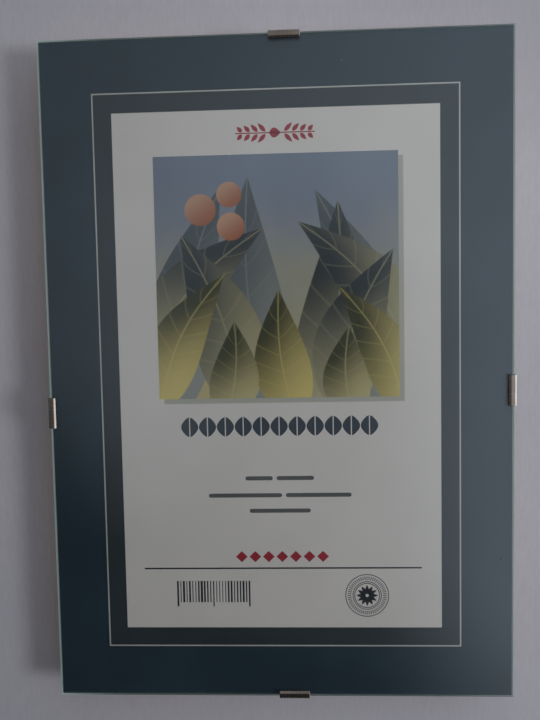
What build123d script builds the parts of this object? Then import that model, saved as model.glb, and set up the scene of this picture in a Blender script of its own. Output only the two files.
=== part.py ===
"""Clip frame: a glass pane, a printed insert and a hardboard back, held by four spring clips.

Millimetres, +Z up, front towards -Y, hanging on a wall in the plane y = 0.
The origin is the centre of the top clip's hanging hole, in the plane of the wall.
"""
import math
import os

from build123d import *

# Sheets, front to back
sheet_w = 210.0
sheet_h = 300.0
glass_t = 2.0
glass_seam = 0.4
insert_t = 0.25
insert_side_margin = 0.6
insert_end_margin = 0.25
insert_air = 0.05
board_t = 3.0
board_margin = 0.3
board_corner_r = 0.8

# Saw-cut slots in the board, one along the middle of each edge
slot_w = 3.2
slot_inset = 23.2
saw_r = 63.0
saw_past_front = 1.5
saw_travel = 30.0

# Clips, bent from one strip of spring steel
strip_t = 0.6
strip_edge = 0.12
clip_w = 14.0
edge_gap = 0.15
lip_gap = 0.1
lip_reach = 2.45
lip_slope_run = 0.45
lip_rise = 0.7
lip_bend_r = 0.6
shoulder_bend_r = 0.9
heel_gap = 0.5
heel_bend_r = 0.8
heel_run = 4.3
crown_start = 7.6
crown_end = 19.5
crown_rise = 3.0
crown_bend_r = 2.0
hook_gap = 0.1
hook_depth = 2.0
hook_slant = 15.0
hook_bend_r = 0.75
hook_bend_gap = 0.45

# Hanging keyhole in each clip's crown
hole_r = 3.75
hole_inset = 14.5
shank_w = 3.0
shank_reach = 6.2

# Where each clip sits, measured from the middle of its edge, towards +X or +Z
top_clip_offset = 5.0
bottom_clip_offset = 4.9
left_clip_offset = -16.4
right_clip_offset = -8.8

# Depths behind the front face of the glass
board_front_depth = glass_t + insert_air + insert_t
board_back_depth = board_front_depth + board_t
wall_depth = board_back_depth + crown_rise

# The glass's front face and middle, seen from the hanging hole of the top clip
front_y = -wall_depth
middle_x = -top_clip_offset
middle_z = hole_inset - sheet_h / 2
left_x = middle_x - sheet_w / 2
right_x = middle_x + sheet_w / 2
top_z = middle_z + sheet_h / 2
bottom_z = middle_z - sheet_h / 2


def sheet_plane(depth):
    """The plane of a sheet's back face, facing the viewer, this deep behind the glass's front."""
    return Plane(
        origin=(middle_x, front_y + depth, middle_z),
        x_dir=(1, 0, 0),
        z_dir=(0, -1, 0),
    )


def edge_plane(middle, outwards, along):
    """A frame on a glass edge: x outwards from it, y forwards from its front, z along it."""
    x, z = middle
    return Plane(origin=(x, front_y, z), x_dir=outwards, z_dir=along)


up, down = (0, 0, 1), (0, 0, -1)
left, right = (-1, 0, 0), (1, 0, 0)

edge_middles = [
    edge_plane((middle_x, top_z), up, right),
    edge_plane((middle_x, bottom_z), down, left),
    edge_plane((left_x, middle_z), left, up),
    edge_plane((right_x, middle_z), right, down),
]
clip_seats = {
    "clip_top": edge_plane((middle_x + top_clip_offset, top_z), up, right),
    "clip_bottom": edge_plane((middle_x + bottom_clip_offset, bottom_z), down, left),
    "clip_left": edge_plane((left_x, middle_z + left_clip_offset), left, up),
    "clip_right": edge_plane((right_x, middle_z + right_clip_offset), right, down),
}

# Centre line of a clip's strip, in the frame of its seat, from the lip's tip to the hook's tip
lip_tip = (-lip_reach, lip_gap + strip_t / 2)
lip_y = lip_rise + strip_t / 2
shoulder_x = edge_gap + strip_t / 2
heel_y = -(board_back_depth + heel_gap + strip_t / 2)
crown_y = -(wall_depth - strip_t / 2)
hook_bend_y = -(board_back_depth + hook_bend_gap + strip_t / 2)
hook_tip_y = -(board_back_depth - hook_depth + strip_t / 2)

hook_slope = math.tan(math.radians(hook_slant))
hook_root_x = -(slot_inset + hook_gap + math.hypot(1, hook_slope) * strip_t / 2)


def hook_point(y):
    """A point on the hook, which slants inwards from the back of the board to its tip."""
    return (hook_root_x - hook_slope * (y + board_back_depth), y)


strip_corners = [
    lip_tip,
    (lip_slope_run - lip_reach, lip_y),
    (shoulder_x, lip_y),
    (shoulder_x, heel_y),
    (-heel_run, heel_y),
    (-crown_start, crown_y),
    (-crown_end, crown_y),
    hook_point(hook_bend_y),
    hook_point(hook_tip_y),
]
strip_bends = [
    lip_bend_r,
    shoulder_bend_r,
    heel_bend_r,
    crown_bend_r,
    crown_bend_r,
    crown_bend_r,
    hook_bend_r,
]


def keyhole_plane(seat):
    """The back face of a clip's crown, centred on its hole, facing forwards."""
    return Plane(
        origin=seat.from_local_coords((-hole_inset, -wall_depth, 0)),
        x_dir=seat.x_dir,
        z_dir=seat.y_dir,
    )


def saw_plane(edge):
    """The outer wall of an edge's slot, centred on the saw blade, facing inwards."""
    blade_y = saw_past_front - board_front_depth - saw_r
    return Plane(
        origin=edge.from_local_coords((-slot_inset, blade_y, 0)),
        x_dir=edge.z_dir,
        z_dir=-edge.x_dir,
    )


os.makedirs("parts", exist_ok=True)

with BuildPart() as glass_pane:
    with BuildSketch(sheet_plane(glass_t)):
        Rectangle(sheet_w, sheet_h)
    extrude(amount=glass_t)
    chamfer(glass_pane.edges().filter_by(Axis.Y, reverse=True), glass_seam)

glass_pane.part.label = "glass_pane"
export_step(glass_pane.part, "parts/glass_pane.step")

with BuildPart() as printed_insert:
    with BuildSketch(sheet_plane(board_front_depth)):
        Rectangle(sheet_w - 2 * insert_side_margin, sheet_h - 2 * insert_end_margin)
    extrude(amount=insert_t)

printed_insert.part.label = "printed_insert"
export_step(printed_insert.part, "parts/printed_insert.step")

with BuildPart() as backing_board:
    with BuildSketch(sheet_plane(board_back_depth)):
        RectangleRounded(sheet_w - 2 * board_margin, sheet_h - 2 * board_margin, board_corner_r)
    extrude(amount=board_t)
    for edge in edge_middles:
        with BuildSketch(saw_plane(edge)):
            SlotCenterToCenter(saw_travel, 2 * saw_r)
        extrude(amount=slot_w, mode=Mode.SUBTRACT)

backing_board.part.label = "backing_board"
export_step(backing_board.part, "parts/backing_board.step")

for name, seat in clip_seats.items():
    with BuildPart() as clip:
        with BuildSketch(seat):
            with BuildLine():
                FilletPolyline(*strip_corners, radius=strip_bends)
                offset(amount=strip_t / 2, side=Side.BOTH, kind=Kind.ARC)
            make_face()
        extrude(amount=clip_w / 2, both=True)
        ends = clip.faces().filter_by(seat)
        chamfer(ends.edges(), strip_edge)
        with BuildSketch(keyhole_plane(seat)):
            Circle(hole_r)
            with Locations((shank_reach / 2, 0)):
                SlotCenterToCenter(shank_reach, shank_w)
        extrude(amount=crown_rise, mode=Mode.SUBTRACT)

    clip.part.label = name
    export_step(clip.part, f"parts/{name}.step")
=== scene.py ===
"""Clip frame: the finish of the glass, print, hardboard and spring clips around the fixed model.

Metres, in the model's own frame: +Z up, the picture faces -Y, and it hangs in the plane y = 0.
"""
import math

import bmesh
import bpy
from mathutils import Matrix, Vector


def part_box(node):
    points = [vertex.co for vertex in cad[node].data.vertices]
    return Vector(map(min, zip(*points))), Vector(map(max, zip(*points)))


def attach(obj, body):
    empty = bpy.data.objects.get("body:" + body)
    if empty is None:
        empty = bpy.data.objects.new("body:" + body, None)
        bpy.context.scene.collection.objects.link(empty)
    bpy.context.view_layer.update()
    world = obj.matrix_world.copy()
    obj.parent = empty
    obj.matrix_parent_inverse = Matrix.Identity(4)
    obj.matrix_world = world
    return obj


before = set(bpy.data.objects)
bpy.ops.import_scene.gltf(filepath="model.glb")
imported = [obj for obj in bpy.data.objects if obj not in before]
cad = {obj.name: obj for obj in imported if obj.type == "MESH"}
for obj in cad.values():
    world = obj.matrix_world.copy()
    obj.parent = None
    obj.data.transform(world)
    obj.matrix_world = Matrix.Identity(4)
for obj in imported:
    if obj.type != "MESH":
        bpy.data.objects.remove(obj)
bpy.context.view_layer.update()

scene = bpy.context.scene
mm = 0.001
black, white = (0.0, 0.0, 0.0, 1), (1.0, 1.0, 1.0, 1)

# The sheets as they stand in the model
glass_low, glass_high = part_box("glass_pane")
insert_low, insert_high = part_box("printed_insert")
board_low, board_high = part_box("backing_board")
glass_middle = (glass_low + glass_high) / 2
insert_middle = (insert_low + insert_high) / 2
board_middle = (board_low + board_high) / 2
paper_y = insert_low.y

# The camera, measured from the middle of the print, with its turns in degrees
eye_right = 10.2 * mm
eye_above = 26.5 * mm
eye_in_front = 316.3 * mm
eye_pitch = -3.65
eye_yaw = 2.535
eye_roll = -1.09
lens = 35
sensor = 36

# The room
wall_gap = 16 * mm
wall_half = 1.6
floor_drop = 0.62
floor_half = 3.0
key_place = Vector((0.74, -0.70, -0.07))
key_side = 0.28
key_power = 2.7
soft_place = Vector((0.18, -0.45, 0.26))
soft_side = 0.8
soft_power = 1.12
back_place = Vector((-0.5, 1.0, 0.7))
back_side = 0.8
back_power = 18.0
floor_glow = 0.2
backdrop = (0.42, 0.42, 0.43, 1)

# Painted shade on the wall at the upper right: its slope, where it starts and ends, and how deep it
# gets
painted_shade_slope, painted_shade_reach, painted_shade_depth = 0.7, (0.165, 0.27), 0.45

# What the glass and the steel reflect, by the way a ray leaves: X and Z of its unit vector.
# The room is brighter to the right, brightest at the lamp, dark low on the left, a little
# dimmer high up and straight ahead, and faintly lit from far below.
gleam_tint = (0.87, 1.0, 1.14)
room_across, room_gleam = (-0.34, 0.4), (0.30, 0.97)
lamp_across, lamp_gleam = (0.5, 0.95), (0.0, 1.9)
corner_slope, corner_left_end, corner_reach, corner_share = -0.6, -0.36, (0.2, 0.5), (1.0, 0.03)
ceiling_reach, ceiling_share = (0.0, 0.45), (1.0, 0.75)
ahead_drop, ahead_reach, ahead_share = 0.02, (0.06, 0.26), (0.25, 1.0)
below_reach, below_gleam = (-0.95, -0.6), (0.11, 0.0)
sideways_reach, sideways_loss = (0.42, 0.6), -0.65
soft_reach = (-1.0, 0.3)
soft_below, soft_above = (0.055, 0.055, 0.056, 1), (0.010, 0.010, 0.011, 1)

# Layout of the print in millimetres from its middle, X right and Z up
ink_t = 0.007
ink_lift = 0.004
key_line_x, key_line_z, key_line_w, key_line_h, key_line_t = 0.05, -0.1, 162.45, 252.75, 0.62
panel_x, panel_z, panel_w, panel_h = 0.05, -0.05, 145.5, 235.5
picture_x, picture_z, picture_side = -0.1, 43.6, 109.0
picture_shadow = 2.2
sprig_x, sprig_z, sprig_w, sprig_h = 0.3, 107.25, 35.3, 9.3
frieze_x, frieze_z, frieze_w, frieze_h, frieze_count = -0.2, -23.9, 90.0, 10.6, 11
lozenges_x, lozenges_z, lozenges_w, lozenges_h = 0.2, -84.35, 43.6, 5.2
lozenge_w, lozenge_count = 5.4, 7
rule_x, rule_z, rule_w, rule_t = 0.0, -89.8, 127.6, 0.72
stripes_x, stripes_z, stripes_w, stripes_h = -31.9, -100.8, 33.3, 10.1
stripe_count, finest_stripe, broadest_stripe, longer_by, stripe_seed = 25, 0.28, 1.05, 2.0, 4
rosette_x, rosette_z, rosette_r, rosette_line = 38.85, -102.75, 9.8, 0.36
tick_count, tick_length = 56, 1.7
petal_count, petal_root, petal_length, petal_w = 12, 0.6, 4.4, 1.7

# Blur of the printed borders, half of it on each side, and how high the paper's tooth stands
line_blur = 0.1 * mm
shadow_blur = 0.35 * mm
tooth_height = 0.02 * mm

# Grinding of the glass's edges: how far in it is whole, where it ends, and the depth of its chips
ground_whole = 0.25 * mm
ground_end = 0.6 * mm
chip_depth = 0.1 * mm

# Painted edge glow for light caught in the pane: how strong on the left, how far in, share
# elsewhere
painted_glow_strength = 0.125
painted_glow_reach = 30 * mm
painted_glow_elsewhere = 0.12

# The board's back: pitch of the press screen's weave, relief, and the scuffed border
screen_pitch = 1.25 * mm
screen_depth = 0.12 * mm
scuff_whole = 0.4 * mm
scuff_end = 3.5 * mm

# Depth of the strip's rolling lines and of the wall's paint
rolling_depth = 0.03 * mm
paint_depth = 0.2 * mm

# Rows of rounded bars: middle Z, then each bar's width
words_x = -0.4
word_rows = [(-47.8, (12.6, 17.1)), (-55.7, (33.7, 30.0)), (-62.9, (28.0,))]
word_h, word_gap = 1.9, 1.7


class Nodes:
    """Adds nodes to one tree, with links or plain values given by each input's name or number."""

    def __init__(self, tree):
        self.tree = tree

    def set(self, node, inputs):
        for key, value in inputs.items():
            if isinstance(value, bpy.types.NodeSocket):
                self.tree.links.new(value, node.inputs[key])
            else:
                node.inputs[key].default_value = value

    def add(self, kind, inputs=None, **settings):
        node = self.tree.nodes.new(kind)
        for name, value in settings.items():
            setattr(node, name, value)
        self.set(node, inputs or {})
        return node

    def math(self, operation, *values, clamp=False):
        settings = {"operation": operation, "use_clamp": clamp}
        return self.add("ShaderNodeMath", dict(enumerate(values)), **settings).outputs[0]

    def vector(self, operation, *values, output=0):
        node = self.add("ShaderNodeVectorMath", dict(enumerate(values)), operation=operation)
        return node.outputs[output]

    def scaled(self, vector, factor):
        inputs = {0: vector, "Scale": factor}
        return self.add("ShaderNodeVectorMath", inputs, operation="SCALE").outputs[0]

    def parts(self, vector):
        return self.add("ShaderNodeSeparateXYZ", {0: vector}).outputs[:]

    def join(self, x=0.0, y=0.0, z=0.0):
        return self.add("ShaderNodeCombineXYZ", {0: x, 1: y, 2: z}).outputs[0]

    def mix(self, share, first, second):
        inputs = {0: share, 6: first, 7: second}
        return self.add("ShaderNodeMix", inputs, data_type="RGBA").outputs[2]

    def between(self, value, low, high, to_low=0.0, to_high=1.0):
        """The value moved smoothly from one range to another and held inside it."""
        inputs = {0: value, 1: low, 2: high, 3: to_low, 4: to_high}
        return self.add("ShaderNodeMapRange", inputs, interpolation_type="SMOOTHSTEP").outputs[0]

    def noise(self, vector, scale, detail=3.0, roughness=0.55, distortion=0.0):
        inputs = {"Vector": vector, "Scale": scale, "Detail": detail, "Roughness": roughness,
                  "Distortion": distortion}
        return self.add("ShaderNodeTexNoise", inputs).outputs[0]

    def group(self, tree, **inputs):
        """A group's outputs. An input's name is its label in small letters, with _ for spaces."""
        node = self.add("ShaderNodeGroup", node_tree=tree)
        labels = {label.name.lower().replace(" ", "_"): label.name for label in node.inputs}
        self.set(node, {labels[name]: value for name, value in inputs.items()})
        return node.outputs


def shader_group(name, inputs, outputs):
    """A shader node group with these sockets: its tree, its node maker and its inputs."""
    kinds = {"number": "NodeSocketFloat", "vector": "NodeSocketVector", "colour": "NodeSocketColor"}
    tree = bpy.data.node_groups.new(name, "ShaderNodeTree")
    for side, sockets in (("INPUT", inputs), ("OUTPUT", outputs)):
        for label, kind in sockets.items():
            tree.interface.new_socket(label, in_out=side, socket_type=kinds[kind])
    n = Nodes(tree)
    return tree, n, n.add("NodeGroupInput").outputs


# Effects that several materials share


def border_distance():
    """How far a point lies inside a rectangle's border, measured in the plane of the sheets."""
    sockets = {"Place": "vector", "Middle": "vector", "Half Width": "number",
               "Half Height": "number"}
    tree, n, given = shader_group("Border Distance", sockets, {"Distance": "number"})
    x, _, z = n.parts(n.vector("ABSOLUTE", n.vector("SUBTRACT", given["Place"], given["Middle"])))
    side = n.math("SUBTRACT", given["Half Width"], x)
    end = n.math("SUBTRACT", given["Half Height"], z)
    n.add("NodeGroupOutput", {0: n.math("MINIMUM", side, end)})
    return tree


def print_grain():
    """Ink on coated paper: a fine tooth, and a slow drift in how much ink the press laid down."""
    sockets = {"Place": "vector", "Colour": "colour", "Drift": "number"}
    tree, n, given = shader_group("Print Grain", sockets, {"Colour": "colour", "Height": "number"})
    tooth = n.noise(given["Place"], 3200.0, detail=2.0)
    drift = n.noise(given["Place"], 22.0, detail=4.0)
    fine, slow = n.between(tooth, 0.3, 0.7, -0.35, 0.35), n.between(drift, 0.3, 0.7, -1.0, 1.0)
    gain = n.math("MULTIPLY_ADD", n.math("ADD", fine, slow), given["Drift"], 1.0)
    n.add("NodeGroupOutput", {0: n.scaled(given["Colour"], gain), 1: tooth})
    return tree


def dust():
    """Scattered specks: one small round speck in some of the cells of a random lattice."""
    sockets = {"Place": "vector", "Cells": "number", "Size": "number", "Share": "number"}
    tree, n, given = shader_group("Dust", sockets, {"Mask": "number"})
    cells = n.add("ShaderNodeTexVoronoi", {"Vector": given["Place"], "Scale": given["Cells"]})
    pick, size, _ = n.parts(cells.outputs["Color"])
    radius = n.math("MULTIPLY", given["Size"], size)
    speck = n.math("LESS_THAN", cells.outputs["Distance"], radius)
    chosen = n.math("LESS_THAN", pick, given["Share"])
    n.add("NodeGroupOutput", {0: n.math("MULTIPLY", speck, chosen)})
    return tree


def drawn_grain():
    """Fine lines one way, as on rolled strip or pressed fibre. Stretch is small along the lines."""
    sockets = {"Place": "vector", "Stretch": "vector", "Lines": "number"}
    tree, n, given = shader_group("Drawn Grain", sockets, {"Lines": "number", "Blotches": "number"})
    along = n.vector("MULTIPLY", given["Place"], given["Stretch"])
    fine = n.noise(along, given["Lines"], detail=4.0, roughness=0.7)
    blotches = n.noise(given["Place"], 130.0, detail=4.0, distortion=0.6)
    n.add("NodeGroupOutput", {0: n.between(fine, 0.3, 0.7), 1: n.between(blotches, 0.35, 0.7)})
    return tree


def picture_leaf():
    """One airbrushed leaf over what lies under it, in the picture's own units, -1 to 1 each way."""
    sockets = {"Place": "vector", "Root": "vector", "Angle": "number", "Length": "number",
               "Half Width": "number", "Bow": "number", "Root Colour": "colour",
               "Tip Colour": "colour", "Under": "colour"}
    tree, n, given = shader_group("Picture Leaf", sockets, {"Colour": "colour"})
    away = n.vector("SUBTRACT", given["Place"], given["Root"])
    turned = n.add("ShaderNodeVectorRotate", {"Vector": away, "Angle": given["Angle"]},
                   rotation_type="Z_AXIS").outputs[0]
    along, across, _ = n.parts(turned)
    share = n.math("DIVIDE", along, given["Length"], clamp=True)
    arch = n.math("SINE", n.math("MULTIPLY", share, math.pi))
    across = n.math("SUBTRACT", across, n.math("MULTIPLY", arch, given["Bow"]))
    swell = n.math("SINE", n.math("MULTIPLY", n.math("POWER", share, 0.72), math.pi))
    half = n.math("MULTIPLY", swell, given["Half Width"])
    edge = n.math("SUBTRACT", half, n.math("ABSOLUTE", across))
    inside = n.between(edge, 0.0, 0.012)
    side = n.math("DIVIDE", across, n.math("MAXIMUM", half, 0.001))
    rise = n.between(side, -1.0, 1.0)
    tone = n.between(n.math("MULTIPLY_ADD", rise, 0.3, share), 0.15, 1.0)
    colour = n.mix(tone, given["Root Colour"], given["Tip Colour"])
    slant = n.math("MULTIPLY_ADD", n.math("ABSOLUTE", side), -0.9, n.math("MULTIPLY", share, 8.0))
    veins = n.between(n.math("PINGPONG", slant, 0.5), 0.0, 0.09, 0.16, 0.0)
    rib = n.between(n.math("ABSOLUTE", across), 0.0, 0.012, 0.45, 0.0)
    lit = n.math("MAXIMUM", veins, rib)
    colour = n.mix(lit, colour, given["Root Colour"])
    n.add("NodeGroupOutput", {0: n.mix(inside, given["Under"], colour)})
    return tree


def picture_berry():
    """One soft round berry over what lies under it, lit from the upper left."""
    sockets = {"Place": "vector", "Middle": "vector", "Radius": "number", "Deep": "colour",
               "Lit": "colour", "Under": "colour"}
    tree, n, given = shader_group("Picture Berry", sockets, {"Colour": "colour"})
    away = n.vector("SUBTRACT", given["Place"], given["Middle"])
    reach = n.vector("LENGTH", away, output=1)
    inside = n.between(n.math("SUBTRACT", given["Radius"], reach), 0.0, 0.012)
    towards_light = n.vector("DOT_PRODUCT", away, (-0.55, 0.75, 0.0), output=1)
    slope = n.math("DIVIDE", towards_light, given["Radius"])
    colour = n.mix(n.between(slope, -0.9, 0.9), given["Deep"], given["Lit"])
    n.add("NodeGroupOutput", {0: n.mix(inside, given["Under"], colour)})
    return tree


border_group = border_distance()
grain_group = print_grain()
dust_group = dust()
drawn_group = drawn_grain()
leaf_group = picture_leaf()
berry_group = picture_berry()


# Materials


def new_material(name):
    """An empty material, its node maker, and its Object coordinates and normal."""
    material = bpy.data.materials.new(name)
    material.use_nodes = True
    material.node_tree.nodes.clear()
    n = Nodes(material.node_tree)
    coordinates = n.add("ShaderNodeTexCoord").outputs
    return material, n, coordinates["Object"], coordinates["Normal"]


def principled(n, inputs, output=True):
    shader = n.add("ShaderNodeBsdfPrincipled", inputs).outputs[0]
    if output:
        n.add("ShaderNodeOutputMaterial", {0: shader})
    return shader


def bump(n, height, strength, distance):
    inputs = {"Height": height, "Strength": strength, "Distance": distance}
    return n.add("ShaderNodeBump", inputs).outputs[0]


def inside_border(n, place, middle, width, height):
    """Metres inside the border of a rectangle of the print or of a sheet."""
    inputs = {"place": place, "middle": middle, "half_width": width / 2, "half_height": height / 2}
    return n.group(border_group, **inputs)[0]


def print_point(x, z):
    """A place on the print, in metres in the model's frame, from millimetres from its middle."""
    return insert_middle + Vector((x * mm, 0, z * mm))


def coated_paper(n, colour, tooth, relief):
    """Finishes a printed material: satin paper whose tooth shows in its relief and its shine."""
    principled(n, {"Base Color": colour, "Roughness": n.between(tooth, 0.2, 0.8, 0.62, 0.74),
                   "Normal": bump(n, tooth, relief, tooth_height), "Specular IOR Level": 0.3})


def printed(n, place, colour, drift):
    """Finishes a material as ink of this colour, whose strength drifts by this share."""
    inked, tooth = n.group(grain_group, place=place, colour=colour, drift=drift)[:2]
    coated_paper(n, inked, tooth, 0.1)


def float_glass():
    """Clear float glass, ground and faintly green at the edges, with a little dust and old smears.

    The ground edges glow with painted light, strongest at the left edge away from the lamp, in
    place of the lamp's light caught in the pane.
    """
    material, n, place, _ = new_material("float_glass")
    size = glass_high - glass_low
    inset = inside_border(n, place, glass_middle, size.x, size.z)
    ground = n.between(inset, ground_whole, ground_end, 1.0, 0.0)
    specks = n.group(dust_group, place=place, cells=160.0, size=0.07, share=0.04)[0]
    smears = n.between(n.noise(place, 26.0, detail=5.0, distortion=1.2), 0.56, 0.8, 0.0, 0.045)
    colour = n.mix(ground, (0.985, 0.996, 0.99, 1), (0.42, 0.62, 0.56, 1))
    dull = n.math("MAXIMUM", n.math("MULTIPLY", ground, 0.42), n.math("MULTIPLY", specks, 0.75))
    roughness = n.math("MAXIMUM", dull, smears)
    chips = n.noise(place, 1800.0, detail=2.0)
    normal = bump(n, n.math("MULTIPLY", chips, ground), 0.35, chip_depth)
    # Painted glow: the ground edges give off a green light, strongest on the left and fading to the
    # right
    x, left = n.parts(place)[0], glass_low.x
    far_side = n.between(x, left, left + painted_glow_reach, 1.0, painted_glow_elsewhere)
    painted_edge_glow = n.mix(n.math("MULTIPLY", ground, far_side), black, (0.62, 0.84, 0.80, 1))
    pane = principled(n, {"Base Color": colour, "Roughness": roughness, "Normal": normal,
                          "IOR": 1.5, "Transmission Weight": 1.0, "Emission Color": painted_edge_glow,
                          "Emission Strength": painted_glow_strength}, output=False)
    path = n.add("ShaderNodeLightPath").outputs
    through = n.math("MAXIMUM", path["Is Shadow Ray"], path["Is Diffuse Ray"])
    clear = n.add("ShaderNodeBsdfTransparent", {0: (0.93, 0.95, 0.94, 1)}).outputs[0]
    either = n.add("ShaderNodeMixShader", {0: through, 1: pane, 2: clear}).outputs[0]
    n.add("ShaderNodeOutputMaterial", {0: either})
    return material


def insert_paper():
    """White paper whose front is printed dark slate blue, a little greyer inside the thin line."""
    material, n, place, normal = new_material("insert_paper")
    line = print_point(key_line_x, key_line_z)
    inset = inside_border(n, place, line, key_line_w * mm, key_line_h * mm)
    inner = n.between(inset, -line_blur, line_blur)
    ink = n.mix(inner, (0.026, 0.046, 0.067, 1), (0.036, 0.047, 0.056, 1))
    inked, tooth = n.group(grain_group, place=place, colour=ink, drift=0.12)[:2]
    front = n.between(n.parts(normal)[1], -0.6, -0.4, 1.0, 0.0)
    coated_paper(n, n.mix(front, (0.72, 0.71, 0.68, 1), inked), tooth, 0.12)
    return material


def ink(name, colour):
    """A plain printing ink."""
    material, n, place, _ = new_material(name)
    printed(n, place, colour, 0.08)
    return material


def panel_ink():
    """The off-white panel with the soft shadow that is printed below and beside the picture."""
    material, n, place, _ = new_material("panel_ink")
    middle = print_point(picture_x + picture_shadow, picture_z - picture_shadow)
    inset = inside_border(n, place, middle, picture_side * mm, picture_side * mm)
    shade = n.between(inset, -shadow_blur, shadow_blur)
    colour = n.mix(shade, (0.845, 0.795, 0.805, 1), (0.53, 0.52, 0.48, 1))
    printed(n, place, colour, 0.025)
    return material


mist, cream, haze_blue = (0.36, 0.37, 0.36, 1), (0.55, 0.50, 0.31, 1), (0.225, 0.265, 0.37, 1)
moss, deep_green, slate = (0.80, 0.65, 0.24, 1), (0.045, 0.048, 0.016, 1), (0.026, 0.033, 0.040, 1)
sage, dusk = (0.66, 0.58, 0.30, 1), (0.085, 0.105, 0.125, 1)

# Root X and Z, angle in degrees, length, half width, bow, root colour and tip colour, back to front
picture_leaves = [
    (-0.05, -1.15, 95, 2.00, 0.30, 0.10, mist, dusk),
    (-0.85, -1.15, 78, 1.95, 0.30, 0.12, mist, dusk),
    (0.85, -1.15, 106, 1.95, 0.30, -0.14, mist, dusk),
    (0.25, -1.20, 82, 1.85, 0.31, -0.12, cream, slate),
    (-1.15, -0.85, 50, 1.65, 0.27, 0.16, cream, slate),
    (1.15, -0.80, 128, 1.60, 0.27, -0.15, cream, slate),
    (-0.30, -1.15, 108, 1.60, 0.30, -0.10, cream, slate),
    (0.50, -1.20, 72, 1.50, 0.29, 0.12, cream, slate),
    (-1.00, -1.10, 63, 1.28, 0.23, 0.11, moss, deep_green),
    (1.05, -1.15, 117, 1.20, 0.22, -0.10, moss, deep_green),
    (0.15, -1.20, 97, 1.12, 0.24, 0.06, moss, deep_green),
    (-0.45, -1.20, 84, 0.86, 0.21, -0.05, sage, deep_green),
    (0.62, -1.20, 92, 0.80, 0.20, 0.05, sage, deep_green),
]
# Middle X and Z and radius
picture_berries = [(-0.62, 0.56, 0.135), (-0.38, 0.68, 0.110), (-0.37, 0.42, 0.120)]


def picture_ink():
    """Broad soft leaves and a few berries under a pale sky, sprayed in slate, olive and cream."""
    material, n, place, _ = new_material("picture_ink")
    away = n.vector("SUBTRACT", place, tuple(print_point(picture_x, picture_z)))
    x, _, z = n.parts(away)
    unit = 2 / (picture_side * mm)
    plan = n.join(n.math("MULTIPLY", x, unit), n.math("MULTIPLY", z, unit))
    rise = n.math("MULTIPLY", n.parts(plan)[1], 0.62)
    cloud = n.math("MULTIPLY_ADD", n.noise(plan, 1.6, detail=5.0), 0.5, rise)
    colour = n.mix(n.between(cloud, -0.2, 0.75), cream, haze_blue)
    colour = n.mix(n.between(cloud, -0.45, 0.1), (0.62, 0.53, 0.27, 1), colour)
    for root_x, root_z, angle, length, half, bow, root_colour, tip_colour in picture_leaves:
        inputs = {"place": plan, "root": (root_x, root_z, 0), "angle": math.radians(-angle),
                  "length": length, "half_width": half, "bow": bow, "root_colour": root_colour,
                  "tip_colour": tip_colour, "under": colour}
        colour = n.group(leaf_group, **inputs)[0]
    for berry_x, berry_z, radius in picture_berries:
        inputs = {"place": plan, "middle": (berry_x, berry_z, 0), "radius": radius, "under": colour,
                  "deep": (0.42, 0.13, 0.06, 1), "lit": (0.62, 0.36, 0.24, 1)}
        colour = n.group(berry_group, **inputs)[0]
    printed(n, place, colour, 0.05)
    return material


def hardboard():
    """Pressed brown hardboard: a sealed pale face, sawn edges and a press screen's weave behind."""
    material, n, place, normal = new_material("hardboard")
    facing = n.parts(normal)[1]
    back = n.between(facing, 0.4, 0.6)
    front = n.between(facing, -0.6, -0.4, 1.0, 0.0)
    size = board_high - board_low
    inset = inside_border(n, place, board_middle, size.x, size.z)
    lines, blotches = n.group(drawn_group, place=place, stretch=(1.0, 1.0, 0.35), lines=900.0)[:2]
    fibre = n.between(n.noise(place, 420.0, detail=6.0, distortion=1.5), 0.35, 0.7)
    brown = n.mix(fibre, (0.150, 0.082, 0.040, 1), (0.285, 0.175, 0.094, 1))
    brown = n.mix(n.math("MULTIPLY", blotches, 0.35), brown, (0.115, 0.062, 0.032, 1))
    pitch = 2 * math.pi / screen_pitch
    x, _, z = n.parts(place)
    weft = n.math("SINE", n.math("MULTIPLY", x, pitch))
    warp = n.math("SINE", n.math("MULTIPLY", z, pitch))
    screen = n.math("MULTIPLY", n.math("MAXIMUM", weft, warp), back)
    pits = n.between(screen, -0.4, 0.6, 0.22, 0.0)
    brown = n.mix(n.math("MULTIPLY", pits, back), brown, (0.070, 0.037, 0.018, 1))
    scuffed = n.between(inset, scuff_whole, scuff_end, 0.45, 0.0)
    scuffed = n.math("MULTIPLY", scuffed, n.math("MULTIPLY", back, lines))
    brown = n.mix(scuffed, brown, (0.40, 0.27, 0.16, 1))
    motes = n.group(dust_group, place=place, cells=260.0, size=0.2, share=0.12)[0]
    brown = n.mix(n.math("MULTIPLY", motes, 0.4), brown, (0.50, 0.44, 0.36, 1))
    sealed = n.mix(n.math("MULTIPLY", fibre, 0.4), (0.46, 0.47, 0.44, 1), (0.36, 0.36, 0.33, 1))
    height = n.math("MULTIPLY_ADD", screen, 0.6, n.math("MULTIPLY", fibre, 0.7))
    principled(n, {"Base Color": n.mix(front, brown, sealed),
                   "Roughness": n.between(fibre, 0.0, 1.0, 0.62, 0.86),
                   "Normal": bump(n, height, 0.55, screen_depth), "Specular IOR Level": 0.35})
    return material


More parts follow.
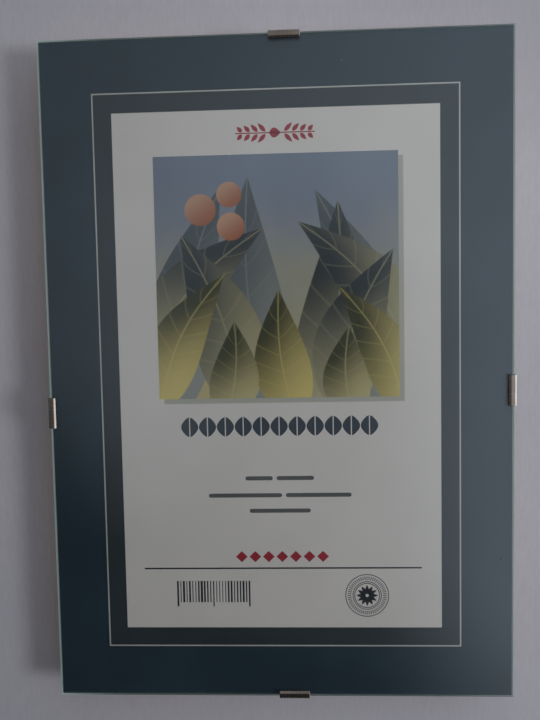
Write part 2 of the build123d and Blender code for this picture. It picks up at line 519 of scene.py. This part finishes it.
def spring_steel(name, width_axis):
    """Nickel-plated spring strip, rolled along its length, with bare sheared sides."""
    material, n, place, normal = new_material(name)
    stretch = tuple(1.0 if axis == width_axis else 0.03 for axis in "xyz")
    lines, blotches = n.group(drawn_group, place=place, stretch=stretch, lines=5200.0)[:2]
    colour = n.mix(lines, (0.275, 0.215, 0.170, 1), (0.345, 0.275, 0.220, 1))
    colour = n.mix(n.math("MULTIPLY", blotches, 0.45), colour, (0.200, 0.145, 0.110, 1))
    facing = n.math("ABSOLUTE", n.parts(normal)["xyz".index(width_axis)])
    sheared = n.between(facing, 0.55, 0.9)
    colour = n.mix(n.math("MULTIPLY", sheared, 0.8), colour, (0.10, 0.085, 0.075, 1))
    rust = n.group(dust_group, place=place, cells=520.0, size=0.3, share=0.10)[0]
    colour = n.mix(n.math("MULTIPLY", rust, 0.5), colour, (0.22, 0.13, 0.08, 1))
    roughness = n.between(lines, 0.0, 1.0, 0.19, 0.29)
    for mask, rougher in ((sheared, 0.2), (rust, 0.3)):
        roughness = n.math("MULTIPLY_ADD", mask, rougher, roughness)
    principled(n, {"Base Color": colour, "Metallic": n.between(rust, 0.0, 1.0, 1.0, 0.5),
                   "Roughness": roughness, "Normal": bump(n, lines, 0.05, rolling_depth)})
    return material


def painted_wall():
    """A pale painted wall with a painted shade towards the upper right, seen from the front only.
    """
    material, n, place, _ = new_material("painted_wall")
    upright = n.vector("MULTIPLY", place, (1.0, 1.0, 0.22))
    rolled = n.noise(upright, 900.0, detail=5.0, roughness=0.65)
    patches = n.noise(place, 9.0, detail=4.0)
    colour = n.mix(n.between(patches, 0.3, 0.7), (0.665, 0.67, 0.765, 1), (0.715, 0.72, 0.81, 1))
    x, _, z = n.parts(n.vector("SUBTRACT", place, tuple(glass_middle)))
    # Painted shade: the wall's colour darkens towards the upper right
    shade = n.between(n.math("MULTIPLY_ADD", x, painted_shade_slope, z), *painted_shade_reach, 0.0, painted_shade_depth)
    for share in (n.between(rolled, 0.35, 0.65, 0.12, 0.0), shade):
        colour = n.mix(share, colour, (0.40, 0.40, 0.45, 1))
    wall = principled(n, {"Base Color": colour, "Roughness": 0.85,
                          "Normal": bump(n, rolled, 0.3, paint_depth)}, output=False)
    behind = n.add("ShaderNodeNewGeometry").outputs["Backfacing"]
    clear = n.add("ShaderNodeBsdfTransparent").outputs[0]
    either = n.add("ShaderNodeMixShader", {0: behind, 1: wall, 2: clear}).outputs[0]
    n.add("ShaderNodeOutputMaterial", {0: either})
    return material


def plain_floor():
    material, n, place, _ = new_material("plain_floor")
    patches = n.between(n.noise(place, 3.0), 0.3, 0.7)
    principled(n, {"Base Color": n.mix(patches, (0.60, 0.60, 0.60, 1), (0.64, 0.64, 0.635, 1)),
                   "Roughness": 0.8, "Emission Color": white, "Emission Strength": floor_glow})
    return material


glass = float_glass()
paper = insert_paper()
off_white = panel_ink()
picture = picture_ink()
board = hardboard()
steel_upright = spring_steel("spring_steel_upright", "x")
steel_level = spring_steel("spring_steel_level", "z")
slate_ink = ink("slate_ink", (0.050, 0.066, 0.090, 1))
grey_ink = ink("grey_ink", (0.120, 0.122, 0.128, 1))
black_ink = ink("black_ink", (0.024, 0.026, 0.036, 1))
red_ink = ink("red_ink", (0.42, 0.028, 0.050, 1))
line_ink = ink("line_ink", (0.60, 0.60, 0.59, 1))


# The printed shapes: thin closed plates in the air between the paper and the glass


def closed_plates(name, outlines, corner):
    """Closed flat plates. corner(x, z, side) places an outline's point on side 0 or 1."""
    points, faces = [], []
    for outline in outlines:
        count, first = len(outline), len(points)
        points += [corner(x, z, side) for side in (0, 1) for x, z in outline]
        faces.append([first + i for i in range(count)])
        faces.append([first + count + i for i in reversed(range(count))])
        for i in range(count):
            after = (i + 1) % count
            faces.append([first + i, first + count + i, first + count + after, first + after])
    mesh = bpy.data.meshes.new(name)
    mesh.from_pydata(points, [], faces)
    shape = bpy.data.objects.new(name, mesh)
    scene.collection.objects.link(shape)
    return shape


def plate(name, outlines, layer, material):
    """A printed piece with these outlines, given clockwise or not, in millimetres on the print."""
    back = paper_y - (ink_lift + layer * (ink_t + ink_lift)) * mm
    depths = (back - ink_t * mm, back)

    def corner(x, z, side):
        return insert_middle.x + x * mm, depths[side], insert_middle.z + z * mm

    piece = closed_plates(name, outlines, corner)
    piece.data.materials.append(material)
    return print_piece(piece)


def print_piece(piece):
    """Turns a printed piece's faces outwards and fixes it to the sheets."""
    solid = bmesh.new()
    solid.from_mesh(piece.data)
    bmesh.ops.recalc_face_normals(solid, faces=solid.faces)
    solid.to_mesh(piece.data)
    solid.free()
    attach(piece, "sheets")
    return piece


def rectangle(x, z, w, h):
    left, right, bottom, top = x - w / 2, x + w / 2, z - h / 2, z + h / 2
    return [(left, bottom), (right, bottom), (right, top), (left, top)]


def frame_sides(x, z, w, h, t):
    """The four mitred sides of a rectangular line."""
    outer, inner = rectangle(x, z, w + t, h + t), rectangle(x, z, w - t, h - t)
    return [[outer[i], outer[i - 3], inner[i - 3], inner[i]] for i in range(4)]


def bar(x, z, w, h, steps=6):
    """A bar with half-round ends."""
    ends = []
    for middle, start in ((x + w / 2 - h / 2, -90), (x - w / 2 + h / 2, 90)):
        for i in range(steps + 1):
            turn = math.radians(start + 180 * i / steps)
            ends.append((middle + h / 2 * math.cos(turn), z + h / 2 * math.sin(turn)))
    return ends


def leaf(x, z, length, width, angle, steps=8):
    """A pointed leaf from its root, at an angle in degrees."""
    turn = math.radians(angle)
    sides = []
    for side in (1, -1):
        for i in range(steps):
            share = i / steps if side > 0 else 1 - i / steps
            out = side * width / 2 * math.sin(math.pi * share ** 0.8)
            sides.append((x + length * share * math.cos(turn) - out * math.sin(turn),
                          z + length * share * math.sin(turn) + out * math.cos(turn)))
    return sides


def word_bars():
    """Rows of rounded bars, each row centred on the same upright line."""
    bars = []
    for z, widths in word_rows:
        x = words_x - (sum(widths) + word_gap * (len(widths) - 1)) / 2
        for width in widths:
            bars.append(bar(x + width / 2, z, width, word_h))
            x += width + word_gap
    return bars


def sprig():
    """A level sprig with pairs of leaves that grow shorter from the middle outwards."""
    stem_t, first_leaf, leaf_pitch, pairs = 0.5, 4.2, 3.5, 4
    bud_length, bud_w, leaf_w, leaf_tilt = 5.2, 4.4, 1.9, 48
    longest_share, share_step = 1.1, 0.13
    shapes = [rectangle(sprig_x, sprig_z, sprig_w, stem_t),
              leaf(sprig_x - bud_length / 2, sprig_z, bud_length, bud_w, 0)]
    for side in (1, -1):
        for i in range(pairs):
            length = sprig_h / 2 * (longest_share - share_step * i)
            root_x = sprig_x + side * (first_leaf + leaf_pitch * i)
            for tilt in (leaf_tilt, -leaf_tilt):
                root_z = sprig_z + math.copysign(stem_t, tilt)
                angle = tilt if side > 0 else 180 - tilt
                shapes.append(leaf(root_x, root_z, length, leaf_w, angle))
    return shapes


# What repeats on the print comes from Geometry Nodes


def geometry_tree(name, inputs):
    """A geometry tree with these named inputs: its node maker and its inputs."""
    kinds = {"number": "NodeSocketFloat", "count": "NodeSocketInt", "object": "NodeSocketObject",
             "material": "NodeSocketMaterial"}
    tree = bpy.data.node_groups.new(name, "GeometryNodeTree")
    for label, kind in inputs.items():
        tree.interface.new_socket(label, in_out="INPUT", socket_type=kinds[kind])
    tree.interface.new_socket("Geometry", in_out="OUTPUT", socket_type="NodeSocketGeometry")
    n = Nodes(tree)
    return tree, n, n.add("NodeGroupInput").outputs


def finish_tree(n, geometry, material):
    """Ends a tree in real geometry with its material."""
    real = n.add("GeometryNodeRealizeInstances", {0: geometry}).outputs[0]
    made = n.add("GeometryNodeSetMaterial", {"Geometry": real, "Material": material}).outputs[0]
    n.add("NodeGroupOutput", {0: made})


def stripe_tree():
    """Upright stripes of random width, the first, middle and last of them longer."""
    tree, n, given = geometry_tree("Stripes", {
        "Width": "number", "Height": "number", "Depth": "number", "Count": "count",
        "Finest": "number", "Broadest": "number", "Longer": "number", "Seed": "count",
        "Material": "material"})
    gaps = n.math("SUBTRACT", given["Count"], 1.0)
    pitch = n.join(n.math("DIVIDE", given["Width"], gaps))
    start = n.join(n.math("MULTIPLY", given["Width"], -0.5))
    line = {"Count": given["Count"], "Start Location": start, "Offset": pitch}
    row = n.add("GeometryNodeMeshLine", line).outputs[0]
    index = n.add("GeometryNodeInputIndex").outputs[0]
    middle = n.math("COMPARE", index, n.math("MULTIPLY", gaps, 0.5), 0.6)
    first, last = n.math("COMPARE", index, 0.0, 0.1), n.math("COMPARE", index, gaps, 0.1)
    guard = n.math("MAXIMUM", middle, n.math("MAXIMUM", first, last))
    limits = {2: given["Finest"], 3: given["Broadest"], "Seed": given["Seed"]}
    width = n.add("FunctionNodeRandomValue", limits, data_type="FLOAT")
    longer = n.math("MULTIPLY", guard, given["Longer"])
    size = n.join(width.outputs[1], given["Depth"], n.math("ADD", given["Height"], longer))
    down = n.join(0.0, 0.0, n.math("MULTIPLY", longer, -0.5))
    placed = n.add("GeometryNodeSetPosition", {"Geometry": row, "Offset": down}).outputs[0]
    stripe = n.add("GeometryNodeMeshCube").outputs[0]
    copies = {"Points": placed, "Instance": stripe, "Scale": size}
    stripes = n.add("GeometryNodeInstanceOnPoints", copies).outputs[0]
    finish_tree(n, stripes, given["Material"])
    return tree


def row_tree():
    """Copies of one motif in a level row, every other one upside down."""
    tree, n, given = geometry_tree("Motif Row", {
        "Motif": "object", "Count": "count", "Pitch": "number", "Material": "material"})
    gaps = n.math("SUBTRACT", given["Count"], 1.0)
    start = n.join(n.math("MULTIPLY", n.math("MULTIPLY", gaps, given["Pitch"]), -0.5))
    line = {"Count": given["Count"], "Start Location": start, "Offset": n.join(given["Pitch"])}
    row = n.add("GeometryNodeMeshLine", line).outputs[0]
    motif = n.add("GeometryNodeObjectInfo", {"Object": given["Motif"]}).outputs["Geometry"]
    index = n.add("GeometryNodeInputIndex").outputs[0]
    flip = n.math("MULTIPLY", n.math("MODULO", index, 2.0), math.pi)
    copies = {"Points": row, "Instance": motif, "Rotation": n.join(0.0, flip, 0.0)}
    row = n.add("GeometryNodeInstanceOnPoints", copies).outputs[0]
    finish_tree(n, row, given["Material"])
    return tree


def rosette_tree():
    """Three rings, a ring of fine ticks and a ring of petals, drawn upright."""
    tree, n, given = geometry_tree("Rosette", {
        "Radius": "number", "Line": "number", "Depth": "number", "Ticks": "count",
        "Tick Length": "number", "Petals": "count", "Petal": "object", "Material": "material"})
    section = {0: given["Line"], 1: given["Depth"]}
    profile = n.add("GeometryNodeCurvePrimitiveQuadrilateral", section).outputs[0]
    parts = []
    for share in (1.0, 0.66, 0.58):
        size = {"Resolution": 96, "Radius": n.math("MULTIPLY", given["Radius"], share)}
        circle = n.add("GeometryNodeCurvePrimitiveCircle", size).outputs[0]
        swept = n.add("GeometryNodeCurveToMesh", {0: circle, "Profile Curve": profile})
        parts.append(swept.outputs[0])
    rings = ((given["Ticks"], 0.83, None), (given["Petals"], 0.0, given["Petal"]))
    for count, share, mark in rings:
        ring = n.add("GeometryNodeMeshCircle", {"Vertices": count, "Radius": 1.0}).outputs[0]
        index = n.add("GeometryNodeInputIndex").outputs[0]
        turn = n.math("MULTIPLY", n.math("DIVIDE", index, count), 2 * math.pi)
        reach = n.math("MULTIPLY", given["Radius"], share)
        place = n.join(n.math("MULTIPLY", n.math("COSINE", turn), reach),
                       n.math("MULTIPLY", n.math("SINE", turn), reach))
        ring = n.add("GeometryNodeSetPosition", {"Geometry": ring, "Position": place}).outputs[0]
        if mark is None:
            size = n.join(given["Tick Length"], given["Line"], given["Depth"])
            shape = n.add("GeometryNodeMeshCube", {"Size": size}).outputs[0]
        else:
            shape = n.add("GeometryNodeObjectInfo", {"Object": mark}).outputs["Geometry"]
        copies = {"Points": ring, "Instance": shape, "Rotation": n.join(0.0, 0.0, turn)}
        parts.append(n.add("GeometryNodeInstanceOnPoints", copies).outputs[0])
    joined = n.add("GeometryNodeJoinGeometry")
    for part in parts:
        n.tree.links.new(part, joined.inputs[0])
    upright = n.add("GeometryNodeTransform", {"Geometry": joined.outputs[0],
                                              "Rotation": (math.pi / 2, 0.0, 0.0)}).outputs[0]
    finish_tree(n, upright, given["Material"])
    return tree


def grow(name, tree, x, z, layer, **values):
    """What a tree makes with these values, as a plain printed piece at a place on the print."""
    host = bpy.data.objects.new(name, bpy.data.meshes.new(name))
    scene.collection.objects.link(host)
    modifier = host.modifiers.new(name, "NODES")
    modifier.node_group = tree
    for item in tree.interface.items_tree:
        label = item.name.lower().replace(" ", "_")
        if item.in_out == "INPUT" and label in values:
            modifier[item.identifier] = values[label]
    bpy.context.view_layer.update()
    grown = host.evaluated_get(bpy.context.evaluated_depsgraph_get())
    mesh = bpy.data.meshes.new_from_object(grown)
    host.modifiers.remove(modifier)
    host.data = mesh
    middle_y = paper_y - (ink_lift + layer * (ink_t + ink_lift) + ink_t / 2) * mm
    middle = insert_middle.x + x * mm, middle_y, insert_middle.z + z * mm
    mesh.transform(Matrix.Translation(middle))
    return print_piece(host)


def motif(name, outlines, upright):
    """A flat shape for a tree to repeat about the origin, upright or lying flat."""
    depths = (-ink_t * mm / 2, ink_t * mm / 2)

    def corner(x, z, side):
        return (x * mm, depths[side], z * mm) if upright else (x * mm, z * mm, depths[side])

    return closed_plates(name, outlines, corner)


def frieze_motif():
    """A broad upright leaf, split along its rib."""
    half_w, slit, slit_share, curve_share = 3.95, 0.25, 0.86, 0.94
    steps = 10
    slit_end = frieze_h / 2 * slit_share
    halves = []
    for side in (1, -1):
        outline = [(side * slit, -slit_end), (side * slit, slit_end)]
        for i in range(1, steps):
            share = i / steps
            out = slit + (half_w - slit) * math.sin(math.pi * share)
            outline.append((side * out, frieze_h * (0.5 - share) * curve_share))
        halves.append(outline)
    return halves


def dress_print():
    """The printed sheet's shapes, from the bottom layer to the top one."""
    line = frame_sides(key_line_x, key_line_z, key_line_w, key_line_h, key_line_t)
    plate("key_line", line, 0, line_ink)
    plate("panel", [rectangle(panel_x, panel_z, panel_w, panel_h)], 0, off_white)
    square = rectangle(picture_x, picture_z, picture_side, picture_side)
    plate("picture", [square], 1, picture)
    plate("sprig", sprig(), 1, red_ink)
    plate("word_bars", word_bars(), 1, grey_ink)
    plate("rule", [rectangle(rule_x, rule_z, rule_w, rule_t)], 1, black_ink)
    repeats = row_tree()
    split_leaf = motif("split_leaf", frieze_motif(), upright=True)
    grow("frieze", repeats, frieze_x, frieze_z, 1, motif=split_leaf, count=frieze_count,
         pitch=frieze_w / frieze_count * mm, material=slate_ink)
    side, tip = lozenge_w / 2, lozenges_h / 2
    lozenge = motif("lozenge", [[(-side, 0), (0, -tip), (side, 0), (0, tip)]], upright=True)
    grow("lozenges", repeats, lozenges_x, lozenges_z, 1, motif=lozenge, count=lozenge_count,
         pitch=lozenges_w / lozenge_count * mm, material=red_ink)
    grow("stripes", stripe_tree(), stripes_x, stripes_z, 1, width=stripes_w * mm,
         height=stripes_h * mm, depth=ink_t * mm, count=stripe_count, finest=finest_stripe * mm,
         broadest=broadest_stripe * mm, longer=longer_by * mm, seed=stripe_seed,
         material=black_ink)
    petal = motif("petal", [leaf(petal_root, 0, petal_length, petal_w, 0)], upright=False)
    grow("rosette", rosette_tree(), rosette_x, rosette_z, 1, radius=rosette_r * mm,
         line=rosette_line * mm, depth=ink_t * mm, ticks=tick_count, tick_length=tick_length * mm,
         petals=petal_count, petal=petal, material=black_ink)
    for shape in (split_leaf, lozenge, petal):
        bpy.data.objects.remove(shape)


def dress_cad():
    """Gives each piece of the model its finish."""
    finishes = {"glass_pane": glass, "printed_insert": paper, "backing_board": board,
                "clip_top": steel_upright, "clip_bottom": steel_upright,
                "clip_left": steel_level, "clip_right": steel_level}
    for name, material in finishes.items():
        for material_slot in cad[name].material_slots:
            material_slot.material = material


# The room, the lights and the camera


def flat(name, corners, material):
    mesh = bpy.data.meshes.new(name)
    mesh.from_pydata(corners, [], [range(4)])
    mesh.materials.append(material)
    sheet = bpy.data.objects.new(name, mesh)
    scene.collection.objects.link(sheet)
    return sheet


def build_room():
    """A wall just clear of the opened clips, which only the front sees, and a floor below."""
    x, z, y = glass_middle.x, glass_middle.z, wall_gap
    floor_z = glass_low.z - floor_drop
    corners = [(x - wall_half, y, floor_z), (x + wall_half, y, floor_z),
               (x + wall_half, y, z + wall_half), (x - wall_half, y, z + wall_half)]
    wall = flat("wall", corners, painted_wall())
    wall.visible_shadow = wall.visible_diffuse = wall.visible_glossy = False
    half = floor_half
    corners = [(x - half, -half, floor_z), (x + half, -half, floor_z), (x + half, half, floor_z),
               (x - half, half, floor_z)]
    floor = flat("floor", corners, plain_floor())
    floor.visible_diffuse = floor.visible_glossy = floor.visible_transmission = False


def area_light(name, place, target, side, power, colour):
    data = bpy.data.lights.new(name, "AREA")
    data.shape, data.size, data.energy, data.color = "DISK", side, power, colour
    lamp = bpy.data.objects.new(name, data)
    lamp.location = target + place
    lamp.rotation_euler = (-place).to_track_quat("-Z", "Y").to_euler()
    lamp.visible_camera = lamp.visible_glossy = lamp.visible_transmission = False
    scene.collection.objects.link(lamp)


def reflected_room(n, x, z, inside_glass):
    """What a mirror shows of the room by the way a ray leaves, less of it sideways out of glass."""
    across = {0: x, 1: room_across[0], 2: room_across[1], 3: room_gleam[0], 4: room_gleam[1]}
    room = n.add("ShaderNodeMapRange", across).outputs[0]
    room = n.math("ADD", room, n.between(x, *lamp_across, *lamp_gleam))
    leftwards = n.math("MAXIMUM", x, corner_left_end)
    corner = n.math("MULTIPLY_ADD", leftwards, corner_slope, n.math("MULTIPLY", z, -1.0))
    room = n.math("MULTIPLY", room, n.between(corner, *corner_reach, *corner_share))
    room = n.math("MULTIPLY", room, n.between(z, *ceiling_reach, *ceiling_share))
    above = n.math("MAXIMUM", n.math("ADD", z, ahead_drop), 0.0)
    from_ahead = n.vector("LENGTH", n.join(x, 0.0, above), output=1)
    room = n.math("MULTIPLY", room, n.between(from_ahead, *ahead_reach, *ahead_share))
    room = n.math("ADD", room, n.between(z, *below_reach, *below_gleam))
    lost = n.math("MULTIPLY", inside_glass, n.between(x, *sideways_reach))
    kept = n.math("MULTIPLY_ADD", lost, sideways_loss, 1.0)
    return n.scaled(gleam_tint, n.math("MULTIPLY", room, kept))


def light_room():
    """A level key from the right, soft light from above, a fill behind and a reflected room."""
    area_light("key", key_place, glass_middle, key_side, key_power, (1.0, 0.985, 0.97))
    area_light("soft", soft_place, glass_middle, soft_side, soft_power, (1.0, 1.0, 1.0))
    area_light("back_fill", back_place, glass_middle, back_side, back_power, (1.0, 1.0, 1.0))
    world = bpy.data.worlds.new("room_light")
    world.use_nodes = True
    scene.world = world
    n = Nodes(world.node_tree)
    world.node_tree.nodes.clear()
    way = n.add("ShaderNodeTexCoord").outputs["Generated"]
    x, _, z = n.parts(way)
    soft = n.mix(n.between(z, *soft_reach), soft_below, soft_above)
    path = n.add("ShaderNodeLightPath").outputs
    gleam = reflected_room(n, x, z, path["Is Transmission Ray"])
    seen = n.mix(path["Is Glossy Ray"], soft, gleam)
    seen = n.mix(path["Is Camera Ray"], seen, backdrop)
    background = n.add("ShaderNodeBackground", {0: seen, 1: 1.0}).outputs[0]
    n.add("ShaderNodeOutputWorld", {0: background})


def place_camera():
    """The photograph's viewpoint, a little above and to the right of the middle, close in front."""
    data = bpy.data.cameras.new("camera")
    data.lens, data.sensor_width, data.clip_start = lens, sensor, 0.01
    camera = bpy.data.objects.new("camera", data)
    eye = insert_middle.x + eye_right, paper_y - eye_in_front, insert_middle.z + eye_above
    tilt = Matrix.Rotation(math.radians(90 + eye_pitch), 4, "X")
    turn = Matrix.Rotation(math.radians(eye_yaw), 4, "Z") @ tilt
    roll = Matrix.Rotation(math.radians(eye_roll), 4, "Z")
    camera.matrix_world = Matrix.Translation(eye) @ turn @ roll
    scene.collection.objects.link(camera)
    scene.camera = camera


place_camera()
build_room()
light_room()
dress_cad()
dress_print()
scene.view_settings.view_transform = "Standard"
